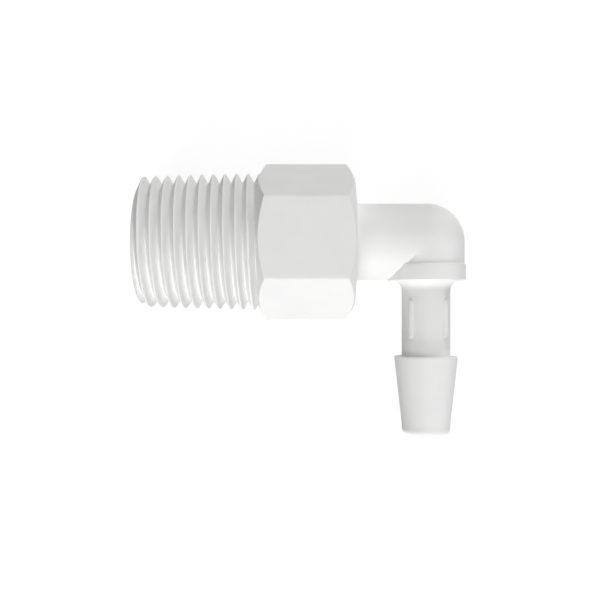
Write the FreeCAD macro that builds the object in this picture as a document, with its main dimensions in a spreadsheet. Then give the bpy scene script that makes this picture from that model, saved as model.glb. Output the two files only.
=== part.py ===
import FreeCAD, Part
import math
import os
import Sketcher

# Barbed elbow fitting: one moulded piece that joins a taper pipe thread to a hose barb at a right angle.
# The body is drawn about the point where the two axes cross, with the threaded end along -X and the
# barb along -Y. It is then laid on one flat of the hex: z = 0 is that flat, and the origin is the
# flat's centre.

SIZES = [
    # alias, size in millimetres or degrees, what it is
    ("thread_diameter", 20.64, "over the crests at the end face"),
    ("thread_taper_length", 16, "length over which the diameter grows by 1"),
    ("thread_growth", 0.8, "how much wider the last crests are, where the taper stops"),
    ("thread_length", 18.7, "end face to hex"),
    ("lead_depth", 0.92, "lead chamfer, crests down to the end face's rim"),
    ("lead_angle", 30, "lead chamfer, from the end face"),
    ("thread_wall", 3.57, "crests at the end face in to the bore"),
    ("flat_over_crest", 0.03, "hex flats above the last crests"),
    ("hex_length", 15.0, "along the thread axis"),
    ("hex_face_inset", 0.5, "flats in to the round face inside the chamfers"),
    ("hex_chamfer_angle", 30, "chamfer, from the hex face"),
    ("tube_diameter", 12.1, "round tube, elbow corner and leg"),
    ("tube_reach", 11.5, "hex face to the barb axis"),
    ("tube_root_radius", 0.9, "fillet between tube and hex"),
    ("tube_wall", 2.05, "round the bore through the tube"),
    ("collar_stand", 0.2, "low collar above the leg"),
    ("collar_height", 2.55, "along the barb axis"),
    ("collar_drop", 0.05, "the collar's lower face below the tube's underside"),
    ("stem_diameter", 7.65, "neck between collar and barb, and nose"),
    ("stem_length", 12.05, "collar to the barb's shoulder"),
    ("stem_root_radius", 1.6, "fillet between collar and stem"),
    ("stem_wall", 1.025, "round the bore through stem and barb"),
    ("rib_count", 4, "ribs round the stem"),
    ("rib_width", 1.2, "thickness of the round-ended bar that is sunk into the stem"),
    ("rib_stand", 0.35, "rib above the stem's surface"),
    ("rib_start", 2.85, "collar to the near end of a rib"),
    ("rib_end", 2.8, "far end of a rib to the shoulder"),
    ("rib_turn", 45, "first rib, from the plane of the two axes"),
    ("barb_stand", 1.2, "sharp shoulder of the barb above the stem"),
    ("barb_length", 10.65, "cone from the shoulder to the nose"),
    ("nose_length", 1.6, "nose with its rounded edge"),
    ("nose_radius", 0.85, "rounded edge of the nose"),
    ("thread_bore_floor", 3.0, "hex face back to the end of the bore inside thread and hex"),
    ("bore_step_angle", 45, "cone between that bore and the tube's, from the axis"),
    ("corner_clearance", 0.4, "barb's bore on to the flat end of the tube's bore"),
    ("overlap", 1.0, "how far joined forms reach into each other, and cuts run out"),
]

# Radii, and places along the two axes from the point where they cross, worked out from the sizes.
CREST_RADIUS = "(sizes.thread_diameter / 2)"
LAST_CREST_RADIUS = f"({CREST_RADIUS} + sizes.thread_growth / 2)"
FLAT_HEIGHT = f"({LAST_CREST_RADIUS} + sizes.flat_over_crest)"
HEX_CORNER = f"({FLAT_HEIGHT} / cos(30))"
HEX_INNER = "-sizes.tube_reach"
HEX_OUTER = f"({HEX_INNER} - sizes.hex_length)"
END_FACE = f"({HEX_OUTER} - sizes.thread_length)"
TUBE_RADIUS = "(sizes.tube_diameter / 2)"
COLLAR_FOOT = f"({TUBE_RADIUS} + sizes.collar_drop)"
STEM_RADIUS = "(sizes.stem_diameter / 2)"
SHOULDER = f"({COLLAR_FOOT} + sizes.stem_length)"
BARB_END = f"({SHOULDER} + sizes.barb_length)"
NOSE_TIP = f"({BARB_END} + sizes.nose_length)"
BARB_BORE_RADIUS = f"({STEM_RADIUS} - sizes.stem_wall)"


def make_sheet(doc):
    sheet = doc.addObject("Spreadsheet::Sheet", "sizes")
    for row, (alias, size, meaning) in enumerate(SIZES, start=1):
        sheet.set(f"A{row}", alias)
        sheet.set(f"B{row}", str(size))
        sheet.set(f"C{row}", meaning)
        sheet.setAlias(f"B{row}", alias)
    doc.recompute()


def origin_item(body, role):
    return next(item for item in body.Origin.OriginFeatures if item.Role == role)


def new_sketch(body, name, plane, **offset):
    """A sketch on one of the body's origin planes, moved along the plane's own axes by expressions."""
    sketch = body.newObject("Sketcher::SketchObject", name)
    sketch.AttachmentSupport = [(origin_item(body, plane), "")]
    sketch.MapMode = "FlatFace"
    for axis, expression in offset.items():
        sketch.setExpression(f"AttachmentOffset.Base.{axis}", expression)
    return sketch


def number(sketch, expression):
    found = sketch.evalExpression(expression)
    return float(getattr(found, "Value", found))


def bind(sketch, constraint, expression):
    index = sketch.addConstraint(constraint)
    sketch.setExpression(f"Constraints[{index}]", expression)


def pin(sketch, curve, end, x, y):
    """Dimension one end of a curve from the sketch's origin, or put it on the axis where x or y is 0."""
    for axis, kind, expression in ((-2, "DistanceX", x), (-1, "DistanceY", y)):
        if expression == "0":
            sketch.addConstraint(Sketcher.Constraint("PointOnObject", curve, end, axis))
        else:
            size = number(sketch, expression)
            bind(sketch, Sketcher.Constraint(kind, -1, 1, curve, end, size), expression)


def add_side(sketch, start, end, turn=None, radius=None):
    """Add a straight side, or an arc that turns ccw or cw; returns its end numbers in order of travel."""
    if turn is None:
        sketch.addGeometry(Part.LineSegment(start, end), False)
        return 1, 2
    chord = end - start
    left = FreeCAD.Vector(-chord.y, chord.x, 0).normalize()
    rise = math.sqrt(max(radius**2 - (chord.Length / 2) ** 2, 0))
    centre = start + chord / 2 + left * (rise if turn == "ccw" else -rise)
    ends = (start, end) if turn == "ccw" else (end, start)
    angles = [math.atan2(p.y - centre.y, p.x - centre.x) for p in ends]
    circle = Part.Circle(centre, FreeCAD.Vector(0, 0, 1), radius)
    sketch.addGeometry(Part.ArcOfCircle(circle, *angles), False)
    return (1, 2) if turn == "ccw" else (2, 1)


def outline(sketch, corners):
    """Draw a closed outline. Each corner is (x, y), or (x, y, turn, radius) if an arc leaves it."""
    points = [FreeCAD.Vector(number(sketch, c[0]), number(sketch, c[1]), 0) for c in corners]
    travel = []
    for corner, start, end in zip(corners, points, points[1:] + points[:1]):
        arc = (corner[2], number(sketch, corner[3])) if len(corner) > 2 else ()
        travel.append(add_side(sketch, start, end, *arc))
    for curve, corner in enumerate(corners):
        before = (curve - 1) % len(corners)
        begins, ended = travel[curve][0], travel[before][1]
        sketch.addConstraint(Sketcher.Constraint("Coincident", before, ended, curve, begins))
        pin(sketch, curve, begins, corner[0], corner[1])
        if len(corner) > 2:
            size = number(sketch, corner[3])
            bind(sketch, Sketcher.Constraint("Radius", curve, size), corner[3])


def turned(body, kind, name, axis, corners):
    """A full turn of an outline about one of the body's axes: a Revolution or a Groove."""
    sketch = new_sketch(body, f"{name}_profile", "XY_Plane")
    outline(sketch, corners)
    feature = body.newObject(f"PartDesign::{kind}", name)
    feature.Profile = sketch
    feature.ReferenceAxis = (origin_item(body, axis), [""])
    feature.Angle = 360
    return feature


def add_hex(body):
    """The wrench hex, with two flats square to Z and both ends chamfered to a round face."""
    sketch = new_sketch(body, "hex_outline", "YZ_Plane", z=HEX_OUTER)
    outline(sketch, [
        (HEX_CORNER, "0"),
        (f"{HEX_CORNER} / 2", FLAT_HEIGHT),
        (f"-{HEX_CORNER} / 2", FLAT_HEIGHT),
        (f"-{HEX_CORNER}", "0"),
        (f"-{HEX_CORNER} / 2", f"-{FLAT_HEIGHT}"),
        (f"{HEX_CORNER} / 2", f"-{FLAT_HEIGHT}"),
    ])
    hexagon = body.newObject("PartDesign::Pad", "hex")
    hexagon.Profile = sketch
    hexagon.setExpression("Length", "sizes.hex_length")

    face = f"({FLAT_HEIGHT} - sizes.hex_face_inset)"
    rise = f"({HEX_CORNER} + sizes.overlap - {face})"
    depth = f"({rise} * tan(sizes.hex_chamfer_angle))"
    for name, end, inward in (("outer", HEX_OUTER, "+"), ("inner", HEX_INNER, "-")):
        turned(body, "Groove", f"hex_chamfer_{name}", "X_Axis", [
            (end, face),
            (f"{end} {inward} {depth}", f"{face} + {rise}"),
            (end, f"{face} + {rise}"),
        ])


def add_threaded_end(body):
    """The taper pipe thread's form over its crests, with its lead chamfer, rooted in the hex."""
    slope = "(1 / (2 * sizes.thread_taper_length))"
    lead_length = f"(sizes.lead_depth / (1 / tan(sizes.lead_angle) - {slope}))"
    rooted = f"({HEX_OUTER} + sizes.overlap)"
    turned(body, "Revolution", "threaded_end", "X_Axis", [
        (END_FACE, "0"),
        (rooted, "0"),
        (rooted, LAST_CREST_RADIUS),
        (f"{END_FACE} + sizes.thread_growth * sizes.thread_taper_length", LAST_CREST_RADIUS),
        (f"{END_FACE} + {lead_length}", f"{CREST_RADIUS} + {lead_length} * {slope}"),
        (END_FACE, f"{CREST_RADIUS} - sizes.lead_depth"),
    ])


def add_tube(body):
    """The round tube from the hex, filleted at its root, and a ball about the crossing point."""
    rooted = f"({HEX_INNER} - sizes.overlap)"
    turned(body, "Revolution", "tube", "X_Axis", [
        (rooted, "0"),
        ("0", "0"),
        ("0", TUBE_RADIUS),
        (f"{HEX_INNER} + sizes.tube_root_radius", TUBE_RADIUS, "cw", "sizes.tube_root_radius"),
        (HEX_INNER, f"{TUBE_RADIUS} + sizes.tube_root_radius"),
        (rooted, f"{TUBE_RADIUS} + sizes.tube_root_radius"),
    ])
    ball = body.newObject("PartDesign::AdditiveSphere", "corner_ball")
    ball.setExpression("Radius", TUBE_RADIUS)


def add_leg(body):
    """The leg that meets tube and ball, with its collar, the filleted stem, the barb and the nose."""
    collar_radius = f"({TUBE_RADIUS} + sizes.collar_stand)"
    collar_top = f"-({COLLAR_FOOT} - sizes.collar_height)"
    root = "sizes.stem_root_radius"
    turned(body, "Revolution", "leg", "Y_Axis", [
        ("0", "0"),
        ("0", f"-{NOSE_TIP}"),
        (f"{STEM_RADIUS} - sizes.nose_radius", f"-{NOSE_TIP}", "ccw", "sizes.nose_radius"),
        (STEM_RADIUS, f"-({NOSE_TIP} - sizes.nose_radius)"),
        (STEM_RADIUS, f"-{BARB_END}"),
        (f"{STEM_RADIUS} + sizes.barb_stand", f"-{SHOULDER}"),
        (STEM_RADIUS, f"-{SHOULDER}"),
        (STEM_RADIUS, f"-({COLLAR_FOOT} + {root})", "cw", root),
        (f"{STEM_RADIUS} + {root}", f"-{COLLAR_FOOT}"),
        (collar_radius, f"-{COLLAR_FOOT}"),
        (collar_radius, collar_top),
        (TUBE_RADIUS, collar_top),
        (TUBE_RADIUS, "0"),
    ])


def add_ribs(body):
    """Low ribs along the stem: round bars with round ends, sunk into the stem all but for their backs."""
    radius = "(sizes.rib_width / 2)"
    bar_axis = f"({STEM_RADIUS} + sizes.rib_stand - {radius})"
    near = f"-({COLLAR_FOOT} + sizes.rib_start)"
    far = f"-({SHOULDER} - sizes.rib_end)"
    sketch = new_sketch(
        body, "rib_profile", "XY_Plane",
        x=f"{bar_axis} * cos(sizes.rib_turn)", z=f"-{bar_axis} * sin(sizes.rib_turn)",
    )
    turn = FreeCAD.Rotation(FreeCAD.Vector(0, 1, 0), 1)
    sketch.AttachmentOffset = FreeCAD.Placement(sketch.AttachmentOffset.Base, turn)
    sketch.setExpression("AttachmentOffset.Rotation.Angle", "sizes.rib_turn")
    outline(sketch, [
        ("0", near, "cw", radius),
        (radius, f"{near} - {radius}"),
        (radius, f"{far} + {radius}", "cw", radius),
        ("0", far),
    ])
    rib = body.newObject("PartDesign::Revolution", "rib")
    rib.Profile = sketch
    rib.ReferenceAxis = (sketch, ["V_Axis"])
    rib.Angle = 360
    ribs = body.newObject("PartDesign::PolarPattern", "ribs")
    ribs.Originals = [rib]
    ribs.Axis = (origin_item(body, "Y_Axis"), [""])
    ribs.Angle = 360
    ribs.setExpression("Occurrences", "sizes.rib_count")
    body.Tip = ribs


def cut_bores(body):
    """The stepped bore from the threaded end, and the narrow bore from the nose that meets it."""
    wide = f"({CREST_RADIUS} - sizes.thread_wall)"
    narrow = f"({TUBE_RADIUS} - sizes.tube_wall)"
    floor = f"({HEX_INNER} - sizes.thread_bore_floor)"
    step = f"(({wide} - {narrow}) / tan(sizes.bore_step_angle))"
    corner = f"({BARB_BORE_RADIUS} + sizes.corner_clearance)"
    turned(body, "Groove", "thread_bore", "X_Axis", [
        (f"{END_FACE} - sizes.overlap", "0"),
        (corner, "0"),
        (corner, narrow),
        (f"{floor} + {step}", narrow),
        (floor, wide),
        (f"{END_FACE} - sizes.overlap", wide),
    ])
    turned(body, "Groove", "barb_bore", "Y_Axis", [
        ("0", "0"),
        ("0", f"-({NOSE_TIP} + sizes.overlap)"),
        (BARB_BORE_RADIUS, f"-({NOSE_TIP} + sizes.overlap)"),
        (BARB_BORE_RADIUS, "0"),
    ])


def make_elbow(doc):
    body = doc.addObject("PartDesign::Body", "elbow")
    body.Label = "barbed_elbow"
    add_hex(body)
    add_threaded_end(body)
    add_tube(body)
    add_leg(body)
    add_ribs(body)
    cut_bores(body)
    body.setExpression("Placement.Base.x", "sizes.tube_reach + sizes.hex_length / 2")
    body.setExpression("Placement.Base.z", FLAT_HEIGHT)
    return body


def check(doc, pieces):
    for item in doc.Objects:
        if "Invalid" in item.State or "Error" in item.State:
            raise RuntimeError(f"{item.Label} did not build: {item.State}")
    for piece in pieces:
        if piece.Shape.isNull() or not piece.Shape.isValid() or len(piece.Shape.Solids) != 1:
            raise RuntimeError(f"{piece.Label} is not one valid solid")


def main():
    doc = FreeCAD.newDocument("barbed_elbow_fitting")
    make_sheet(doc)
    elbow = make_elbow(doc)
    doc.recompute()
    pieces = [elbow]
    check(doc, pieces)
    os.makedirs("parts", exist_ok=True)
    for piece in pieces:
        piece.Shape.exportStep(f"parts/{piece.Label}.step")
        print(piece.Label, "volume", round(piece.Shape.Volume, 2), "mm3")


main()
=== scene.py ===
import math

import bmesh
import bpy
from mathutils import Matrix, Vector


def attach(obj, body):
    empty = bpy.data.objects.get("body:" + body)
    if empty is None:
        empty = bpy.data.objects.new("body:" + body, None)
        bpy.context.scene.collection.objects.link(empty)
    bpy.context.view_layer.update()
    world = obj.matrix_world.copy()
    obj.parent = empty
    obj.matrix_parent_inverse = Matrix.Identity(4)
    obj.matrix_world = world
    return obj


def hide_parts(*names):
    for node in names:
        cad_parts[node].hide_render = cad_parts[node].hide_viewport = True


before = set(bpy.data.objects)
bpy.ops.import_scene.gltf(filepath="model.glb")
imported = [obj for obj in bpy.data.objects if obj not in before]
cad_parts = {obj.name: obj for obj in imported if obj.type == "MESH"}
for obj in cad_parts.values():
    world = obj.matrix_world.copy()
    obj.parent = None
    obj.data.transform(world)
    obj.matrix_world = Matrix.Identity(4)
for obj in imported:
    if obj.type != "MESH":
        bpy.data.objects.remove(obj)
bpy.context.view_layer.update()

# Lengths are in millimetres, from the point where the thread axis and the barb axis cross.
# The threaded end points along -X, the barb along -Y, and one flat of the hex lies on the floor.
MM = 0.001
X_AXIS = (1, 0, 0)
Y_AXIS = (0, 1, 0)

# How finely round forms are stepped: all the way round, and over a small or a large rounding.
ROUND_STEPS = 192
SMALL_STEPS = 4
LARGE_STEPS = 10
SMALL_ROUNDING = 0.5

# A cutting form reaches PAST what it cuts, and a joined form is SUNK into the one that carries it.
PAST = 1.0
SUNK = 0.02

# A length under a HAIR counts as none, and points within TOUCH of a plane lie on it. Points within
# WELD of each other are merged.
HAIR = 0.00001
TOUCH = 0.0001
WELD = 0.0005

# The hex, chamfered at both ends to a round face.
HEX_FLAT = 10.75
HEX_CORNER = HEX_FLAT / math.cos(math.radians(30))
HEX_FACE_RADIUS = 10.25
HEX_INNER = -11.5
HEX_OUTER = -26.5
HEX_MIDDLE = (HEX_INNER + HEX_OUTER) / 2
HEX_EDGE = 0.3
HEX_ROUNDING = 0.3
CHAMFER_SLOPE = math.tan(math.radians(30))
CHAMFER_RISE = 3.0
CROSSING = (-HEX_MIDDLE, 0, HEX_FLAT)

# The taper pipe thread: 14 turns to the inch, on a cone that widens by 1 in 16.
END_FACE = -45.2
PITCH = 25.4 / 14
TAPER = 1 / 32
PITCH_RADIUS = 9.65
CREST_ROUNDING = 0.17
LAST_CREST_RADIUS = 10.72
RIM_RADIUS = 9.4
RIM_ROUNDING = 0.12

# Its valleys are a little deeper than the standard ones and lean towards the hex.
ROOT_ROUNDING = 0.05
ROOT_EXTRA = 0.12
LEAN = 0.07

# Its row of teeth starts SPARE_TEETH before the first crest, and is cut to length before it is closed.
FIRST_CREST = 0.69
TEETH = 15
SPARE_TEETH = 3
THREAD_STEPS = 192
THREAD_WELD = 0.002
THREAD_SPARE = 0.3
THREAD_SUNK = 0.8

# The tube and the collar.
TUBE_RADIUS = 6.05
TUBE_ROOT = 0.9
COLLAR_RADIUS = 6.25
COLLAR_TOP = -3.55
COLLAR_FOOT = -6.1

# The stem and the barb.
STEM_RADIUS = 3.825
STEM_ROOT = 1.6
SHOULDER = -18.15
SHOULDER_RADIUS = 5.025
CONE_END = -28.8
NOSE_TIP = -30.4
NOSE_ROUNDING = 0.85
INNER_ROUNDING = 0.12
EDGE_ROUNDING = 0.1

# The four ribs on the stem.
RIB_RADIUS = 0.6
RIB_STEPS = 64
RIB_TOP = 4.175
RIB_NEAR = -8.95
RIB_FAR = -15.35
RIB_TURNS = (45, 135, 225, 315)

# The bores.
WIDE_BORE = 6.75
TUBE_BORE = 4.0
BARB_BORE = 2.8
BORE_FLOOR = -14.5
BORE_END = 3.2
MOUTH_BREAK = 0.2

# The white plastic.
PLASTIC_SHADE = (0.815, 0.816, 0.812, 1)
PLASTIC_LIGHT = (0.845, 0.845, 0.838, 1)
PLASTIC_ROUGHNESS = 0.45
PLASTIC_SHEEN = 0.12
PLASTIC_IOR = 1.5
FLOW_ON_GLOSS = 0.10
GRAIN_ON_GLOSS = 0.06
GRAIN_DEPTH = 0.00002
GRAIN_STRENGTH = 0.12
SHARP_ANGLE = math.radians(28)
SHADING_WEIGHT = 60

# The floor and the room, in metres and as colours.
FLOOR_REACH = 1.5
WHITE = (1, 1, 1, 1)
FLOOR_PLAIN = (0.3, 0.3, 0.3, 1)
FLOOR_SHADED = (0.15, 0.15, 0.15, 1)
BACKDROP_GLOW = 0.9
ROOM_LIGHT = 0.01

# The camera, and the lamps that stand round a point above the floor, in metres.
CAMERA_PLACE = (-0.00099, -0.00922, 0.15125)
LENS = 53.1
SENSOR_WIDTH = 36
NEAREST = 0.01
LAMP_MIDDLE = (0.0, -0.008, 0.01)
LAMP_DISTANCE = 0.6
LAMP_SIZE = 0.25


def profile(bm, corners):
    """A chain of edges in the plane of the two axes. A corner is x, y, and the radius that rounds it."""
    points = [bm.verts.new((corner[0], corner[1], 0)) for corner in corners]
    for start, end in zip(points, points[1:]):
        bm.edges.new((start, end))
    for point, corner in zip(points, corners):
        if len(corner) > 2:
            round_corner(bm, point, corner[2])


def round_corner(bm, corner, radius):
    """Round one corner of a profile, with few steps where the radius is small."""
    steps = SMALL_STEPS if radius < SMALL_ROUNDING else LARGE_STEPS
    before, after = [edge.other_vert(corner).co - corner.co for edge in corner.link_edges]
    reach = radius / math.tan(before.angle(after) / 2)
    bmesh.ops.bevel(
        bm, geom=[corner], offset=reach, offset_type="OFFSET", segments=steps, profile=0.5,
        affect="VERTICES", clamp_overlap=False, material=-1,
    )


def spin(bm, geom, axis, angle, steps, rise=0.0):
    """Turn edges about an axis through the crossing, and move them on along it by the rise."""
    advance = Vector(axis) * rise / steps
    full = angle == math.tau and rise == 0
    return bmesh.ops.spin(
        bm, geom=geom, cent=(0, 0, 0), axis=axis, dvec=advance, angle=angle, steps=steps,
        use_merge=full, use_normal_flip=False, use_duplicate=False,
    )


def trim(bm, normal, place=(0, 0, 0)):
    """Cut off what lies beyond a plane."""
    bmesh.ops.bisect_plane(
        bm, geom=bm.verts[:] + bm.edges[:] + bm.faces[:], dist=HAIR, plane_co=place, plane_no=normal,
        use_snap_center=False, clear_outer=True, clear_inner=False,
    )


def weld(bm, gap=WELD):
    """Merge the seams and poles of a form, and turn its faces outwards."""
    bmesh.ops.remove_doubles(bm, verts=bm.verts[:], dist=gap)
    bmesh.ops.dissolve_degenerate(bm, dist=HAIR, edges=bm.edges[:])
    bmesh.ops.recalc_face_normals(bm, faces=bm.faces[:])


def blank(name, bm):
    """An object in the scene that takes over what was modelled."""
    mesh = bpy.data.meshes.new(name)
    bm.to_mesh(mesh)
    bm.free()
    piece = bpy.data.objects.new(name, mesh)
    bpy.context.scene.collection.objects.link(piece)
    return piece


def turned(name, axis, corners, steps=ROUND_STEPS):
    """A solid turned from its profile, which starts and ends on the axis."""
    bm = bmesh.new()
    profile(bm, corners)
    spin(bm, bm.verts[:] + bm.edges[:], axis, math.tau, steps)
    weld(bm)
    return blank(name, bm)


def combine(body, other, operation):
    """Join, cut or limit the body with another closed solid, which is used up."""
    step = body.modifiers.new(operation.lower(), "BOOLEAN")
    step.object = other
    step.operation = operation
    step.solver = "MANIFOLD"
    depsgraph = bpy.context.evaluated_depsgraph_get()
    before = body.data
    body.data = bpy.data.meshes.new_from_object(body.evaluated_get(depsgraph))
    body.modifiers.remove(step)
    bpy.data.meshes.remove(before)
    used = other.data
    bpy.data.objects.remove(other)
    bpy.data.meshes.remove(used)
    return body


def hex_blank():
    """Six flats with lightly rounded corners, chamfered at both ends to a round face."""
    bm = bmesh.new()
    place = Matrix.Translation((HEX_MIDDLE, 0, 0)) @ Matrix.Rotation(math.radians(90), 4, "Y")
    bmesh.ops.create_cone(
        bm, cap_ends=True, segments=6, radius1=HEX_CORNER, radius2=HEX_CORNER,
        depth=HEX_INNER - HEX_OUTER, matrix=place,
    )
    corners = [edge for edge in bm.edges if abs(edge.verts[0].co.x - edge.verts[1].co.x) > HEX_EDGE]
    bmesh.ops.bevel(
        bm, geom=corners, offset=HEX_EDGE, offset_type="OFFSET", segments=SMALL_STEPS, profile=0.5,
        affect="EDGES", clamp_overlap=True, material=-1,
    )
    weld(bm)
    hexagon = blank("hexagon", bm)
    depth = CHAMFER_RISE * CHAMFER_SLOPE
    chamfers = turned("hex_chamfers", X_AXIS, [
        (HEX_OUTER, 0),
        (HEX_OUTER, HEX_FACE_RADIUS, HEX_ROUNDING),
        (HEX_OUTER + depth, HEX_FACE_RADIUS + CHAMFER_RISE),
        (HEX_INNER - depth, HEX_FACE_RADIUS + CHAMFER_RISE),
        (HEX_INNER, HEX_FACE_RADIUS, HEX_ROUNDING),
        (HEX_INNER, 0),
    ])
    return combine(hexagon, chamfers, "INTERSECT")


def threaded_end():
    """The taper pipe thread: one row of teeth turned once as it moves on by a pitch, then widened."""
    bm = bmesh.new()
    half_depth = PITCH / 4 * math.tan(math.radians(60))
    first = END_FACE + FIRST_CREST - SPARE_TEETH * PITCH
    teeth = []
    for tooth in range(TEETH):
        crest = first + tooth * PITCH
        teeth.append((crest, PITCH_RADIUS + half_depth, CREST_ROUNDING))
        teeth.append((crest + PITCH / 2 + LEAN, PITCH_RADIUS - half_depth - ROOT_EXTRA, ROOT_ROUNDING))
    teeth[0] = teeth[0][:2]
    teeth[-1] = teeth[-1][:2]
    profile(bm, teeth)
    spin(bm, bm.verts[:] + bm.edges[:], X_AXIS, math.tau, THREAD_STEPS, rise=PITCH)
    bmesh.ops.remove_doubles(bm, verts=bm.verts[:], dist=THREAD_WELD)
    trim(bm, (-1, 0, 0), (END_FACE - THREAD_SPARE, 0, 0))
    trim(bm, (1, 0, 0), (HEX_OUTER + THREAD_SUNK, 0, 0))
    for point in bm.verts:
        radius = math.hypot(point.co.y, point.co.z)
        widened = 1 + (point.co.x - END_FACE) * TAPER / radius
        point.co.y *= widened
        point.co.z *= widened
    bmesh.ops.holes_fill(bm, edges=[edge for edge in bm.edges if edge.is_boundary], sides=0)
    weld(bm)
    thread = blank("threaded_end", bm)
    lead = (LAST_CREST_RADIUS - RIM_RADIUS) * CHAMFER_SLOPE
    limits = turned("thread_limits", X_AXIS, [
        (END_FACE, 0),
        (END_FACE, RIM_RADIUS, RIM_ROUNDING),
        (END_FACE + lead, LAST_CREST_RADIUS),
        (HEX_OUTER + PAST, LAST_CREST_RADIUS),
        (HEX_OUTER + PAST, 0),
    ])
    return combine(thread, limits, "INTERSECT")


def elbow_corner():
    """Tube and leg of one diameter: a mitre on the inside of the corner, a quarter of a ball outside."""
    tube = bmesh.new()
    root = HEX_INNER - SUNK
    profile(tube, [
        (HEX_INNER - PAST, 0),
        (HEX_INNER - PAST, TUBE_RADIUS + TUBE_ROOT),
        (root, TUBE_RADIUS + TUBE_ROOT),
        (root, TUBE_RADIUS, TUBE_ROOT),
        (TUBE_RADIUS + PAST, TUBE_RADIUS),
    ])
    spin(tube, tube.verts[:] + tube.edges[:], X_AXIS, math.tau, ROUND_STEPS)
    trim(tube, (1, -1, 0))
    trim(tube, (1, 0, 0))
    ends = [end for end in tube.verts if abs(end.co.x) < TOUCH and end.co.y > -TOUCH]
    rim = [edge for edge in tube.edges if all(end in ends for end in edge.verts)]
    spin(tube, ends + rim, (0, 0, -1), math.pi / 2, ROUND_STEPS // 4)

    leg = bmesh.new()
    inside_collar = COLLAR_FOOT + SUNK
    profile(leg, [(TUBE_RADIUS, TUBE_RADIUS + PAST), (TUBE_RADIUS, inside_collar), (0, inside_collar)])
    spin(leg, leg.verts[:] + leg.edges[:], Y_AXIS, math.tau, ROUND_STEPS)
    trim(leg, (-1, 1, 0))
    trim(leg, (0, 1, 0))
    leg_mesh = bpy.data.meshes.new("leg")
    leg.to_mesh(leg_mesh)
    leg.free()
    tube.from_mesh(leg_mesh)
    bpy.data.meshes.remove(leg_mesh)
    weld(tube, 2 * WELD)
    return blank("elbow_corner", tube)


def barb_end():
    """Collar, filleted stem, sharp-shouldered barb and nose, turned about the barb axis."""
    return turned("barb_end", Y_AXIS, [
        (0, COLLAR_TOP),
        (COLLAR_RADIUS, COLLAR_TOP, INNER_ROUNDING),
        (COLLAR_RADIUS, COLLAR_FOOT, EDGE_ROUNDING),
        (STEM_RADIUS, COLLAR_FOOT, STEM_ROOT),
        (STEM_RADIUS, SHOULDER, INNER_ROUNDING),
        (SHOULDER_RADIUS, SHOULDER, EDGE_ROUNDING),
        (STEM_RADIUS, CONE_END, EDGE_ROUNDING),
        (STEM_RADIUS, NOSE_TIP, NOSE_ROUNDING),
        (0, NOSE_TIP),
    ])


def rib(turn):
    """A round bar with round ends, sunk into the stem all but for its back."""
    bar = turned("rib", Y_AXIS, [
        (0, RIB_NEAR),
        (RIB_RADIUS, RIB_NEAR, RIB_RADIUS),
        (RIB_RADIUS, RIB_FAR, RIB_RADIUS),
        (0, RIB_FAR),
    ], steps=RIB_STEPS)
    sunk = Matrix.Translation((RIB_TOP - RIB_RADIUS, 0, 0))
    bar.data.transform(Matrix.Rotation(math.radians(turn), 4, "Y") @ sunk)
    return bar


def thread_bore():
    """The wide bore from the threaded end, its cone, and the tube's bore up to the barb's."""
    return turned("thread_bore", X_AXIS, [
        (END_FACE - PAST, 0),
        (END_FACE - PAST, WIDE_BORE + MOUTH_BREAK + PAST),
        (END_FACE + MOUTH_BREAK, WIDE_BORE),
        (BORE_FLOOR, WIDE_BORE),
        (BORE_FLOOR + WIDE_BORE - TUBE_BORE, TUBE_BORE),
        (BORE_END, TUBE_BORE),
        (BORE_END, 0),
    ])


def barb_bore():
    """The bore from the nose up to the crossing of the axes, with a broken edge at its mouth."""
    return turned("barb_bore", Y_AXIS, [
        (0, 0),
        (BARB_BORE, 0),
        (BARB_BORE, NOSE_TIP + MOUTH_BREAK),
        (BARB_BORE + MOUTH_BREAK + PAST, NOSE_TIP - PAST),
        (0, NOSE_TIP - PAST),
    ])


def make_fitting():
    """The whole fitting in one piece, moved to its place in the frame and scaled to metres."""
    fitting = hex_blank()
    for form in (threaded_end(), elbow_corner(), barb_end()):
        combine(fitting, form, "UNION")
    for turn in RIB_TURNS:
        combine(fitting, rib(turn), "UNION")
    for bore in (thread_bore(), barb_bore()):
        combine(fitting, bore, "DIFFERENCE")
    fitting.name = "fitting"
    fitting.data.name = "fitting"
    fitting.data.transform(Matrix.Scale(MM, 4) @ Matrix.Translation(CROSSING))
    fitting.data.shade_smooth()
    fitting.data.set_sharp_from_angle(angle=SHARP_ANGLE)
    even = fitting.modifiers.new("even_shading", "WEIGHTED_NORMAL")
    even.keep_sharp = True
    even.weight = SHADING_WEIGHT
    return fitting


class Value:
    """A socket that can be written in a sum: each operator adds its Math node."""

    def __init__(self, tree, socket):
        self.tree = tree
        self.socket = socket

    def math(self, operation, *others, swap=False):
        node = self.tree.nodes.new("ShaderNodeMath")
        node.operation = operation
        values = [self, *others]
        if swap:
            values.reverse()
        for entry, value in zip(node.inputs, values):
            if isinstance(value, Value):
                self.tree.links.new(value.socket, entry)
            else:
                entry.default_value = value
        return Value(self.tree, node.outputs[0])

    def __add__(self, other):
        return self.math("ADD", other)

    def __radd__(self, other):
        return self.math("ADD", other, swap=True)

    def __sub__(self, other):
        return self.math("SUBTRACT", other)

    def __rsub__(self, other):
        return self.math("SUBTRACT", other, swap=True)

    def __mul__(self, other):
        return self.math("MULTIPLY", other)

    def __rmul__(self, other):
        return self.math("MULTIPLY", other, swap=True)


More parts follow.
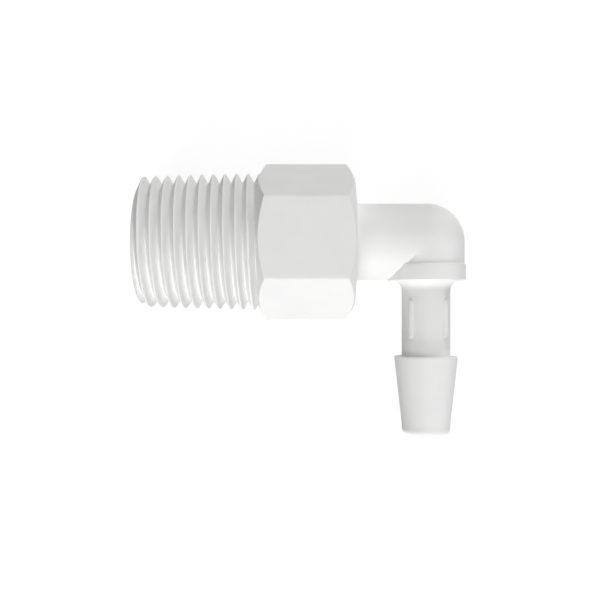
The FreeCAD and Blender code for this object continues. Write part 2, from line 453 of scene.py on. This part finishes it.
class Finish:
    """What a material or the world looks like, built up node by node."""

    def __init__(self, owner):
        owner.use_nodes = True
        self.tree = owner.node_tree
        self.tree.nodes.clear()

    def node(self, kind, settings, sockets, output=0):
        """One node. Its sockets go by name or, where names repeat, by place."""
        node = self.tree.nodes.new("ShaderNode" + kind)
        for name, setting in settings.items():
            if name == "stops":
                self.set_stops(node.color_ramp, setting)
            else:
                setattr(node, name, setting)
        for name, value in sockets.items():
            entry = node.inputs[name]
            if isinstance(value, Value):
                self.tree.links.new(value.socket, entry)
            else:
                entry.default_value = value
        if node.outputs:
            return Value(self.tree, node.outputs[output])

    def set_stops(self, ramp, stops):
        """Give a colour ramp its stops, each a place and a colour."""
        while len(ramp.elements) < len(stops):
            ramp.elements.new(0.5)
        for element, (place, colour) in zip(ramp.elements, stops):
            element.position = place
            element.color = colour

    def seen(self):
        """1 for what the camera sees, straight, mirrored or through glass, and 0 for all other light."""
        straight = self.node("LightPath", {}, {}, "Is Camera Ray")
        mirrored = self.node("LightPath", {}, {}, "Is Glossy Ray")
        through = self.node("LightPath", {}, {}, "Is Transmission Ray")
        return straight + mirrored + through


def white_plastic():
    """Satin white moulding plastic: a faint cloudiness, a fine grain and slightly uneven gloss."""
    material = bpy.data.materials.new("white_plastic")
    finish = Finish(material)
    place = finish.node("TexCoord", {}, {}, "Object")

    def noise(scale, detail, roughness):
        sockets = {"Vector": place, "Scale": scale, "Detail": detail, "Roughness": roughness}
        return finish.node("TexNoise", {}, sockets, "Fac")

    cloud = noise(scale=180.0, detail=3.0, roughness=0.5)
    flow = noise(scale=420.0, detail=2.0, roughness=0.5)
    grain = noise(scale=5200.0, detail=4.0, roughness=0.6)
    tones = [(0.3, PLASTIC_SHADE), (0.7, PLASTIC_LIGHT)]
    colour = finish.node("ValToRGB", {"stops": tones}, {"Fac": cloud}, "Color")
    gloss = PLASTIC_ROUGHNESS + (flow - 0.5) * FLOW_ON_GLOSS + (grain - 0.5) * GRAIN_ON_GLOSS
    grainy = {"Strength": GRAIN_STRENGTH, "Distance": GRAIN_DEPTH, "Height": grain}
    relief = finish.node("Bump", {}, grainy, "Normal")
    surface = finish.node("BsdfPrincipled", {}, {
        "Base Color": colour,
        "Roughness": gloss,
        "IOR": PLASTIC_IOR,
        "Specular IOR Level": PLASTIC_SHEEN,
        "Normal": relief,
    }, "BSDF")
    finish.node("OutputMaterial", {}, {"Surface": surface})
    return material


def floor_white():
    """White where it is seen, with the soft shadow of what lies on it; plain pale grey to all other light."""
    material = bpy.data.materials.new("floor_white")
    finish = Finish(material)
    plain = finish.node("BsdfDiffuse", {}, {"Color": FLOOR_PLAIN}, "BSDF")
    shaded = finish.node("BsdfDiffuse", {}, {"Color": FLOOR_SHADED}, "BSDF")
    glow = finish.node("Emission", {}, {"Color": WHITE, "Strength": BACKDROP_GLOW}, "Emission")
    white = finish.node("AddShader", {}, {0: shaded, 1: glow})
    surface = finish.node("MixShader", {}, {0: finish.seen(), 1: plain, 2: white})
    finish.node("OutputMaterial", {}, {"Surface": surface})
    return material


def make_floor():
    """The floor that the fitting lies on, which reaches to the horizon of every view."""
    bm = bmesh.new()
    bmesh.ops.create_grid(bm, x_segments=1, y_segments=1, size=FLOOR_REACH)
    floor = blank("floor", bm)
    floor.data.materials.append(floor_white())


def lamp(name, turn, height, power):
    """A round soft lamp on a dome: turned from +X and raised from the floor in degrees, power in watts."""
    light = bpy.data.lights.new(name, "AREA")
    light.shape = "DISK"
    light.size = LAMP_SIZE
    light.energy = power
    holder = bpy.data.objects.new(name, light)
    bpy.context.scene.collection.objects.link(holder)
    level = math.cos(math.radians(height))
    way = Vector((
        level * math.cos(math.radians(turn)),
        level * math.sin(math.radians(turn)),
        math.sin(math.radians(height)),
    ))
    holder.location = Vector(LAMP_MIDDLE) + way * LAMP_DISTANCE
    holder.rotation_euler = (-way).to_track_quat("-Z", "Y").to_euler()


def make_room():
    """A room as white as the floor where it is seen, and almost dark as a light."""
    room = bpy.data.worlds.new("studio")
    bpy.context.scene.world = room
    finish = Finish(room)
    dark = finish.node("Background", {}, {"Color": WHITE, "Strength": ROOM_LIGHT}, "Background")
    white = finish.node("Background", {}, {"Color": WHITE, "Strength": BACKDROP_GLOW}, "Background")
    surface = finish.node("MixShader", {}, {0: finish.seen(), 1: dark, 2: white})
    finish.node("OutputWorld", {}, {"Surface": surface})


def make_lamps():
    """Most of the light comes from the barb's side, some from behind and little from the threaded end."""
    lamp("front_low", 270, 18, 2.12)
    lamp("front_high", 270, 68, 0.82)
    lamp("front_left", 240, 40, 1.06)
    lamp("left_fill", 190, 20, 0.2)
    lamp("back_right", 60, 40, 0.92)
    lamp("back_low", 90, 18, 0.72)
    lamp("corner_rim", 60, 4, 1.06)
    lamp("right_low", 0, 18, 0.76)


def make_camera():
    """Straight above the fitting, as the photograph was taken, with the barb pointing down."""
    camera = bpy.data.cameras.new("camera")
    camera.sensor_width = SENSOR_WIDTH
    camera.lens = LENS
    camera.clip_start = NEAREST
    holder = bpy.data.objects.new("camera", camera)
    bpy.context.scene.collection.objects.link(holder)
    holder.location = CAMERA_PLACE
    bpy.context.scene.camera = holder


bpy.context.scene.view_settings.view_transform = "Standard"
fitting = make_fitting()
fitting.data.materials.clear()
fitting.data.materials.append(white_plastic())
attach(fitting, "root")
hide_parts("barbed_elbow")
make_floor()
make_room()
make_lamps()
make_camera()
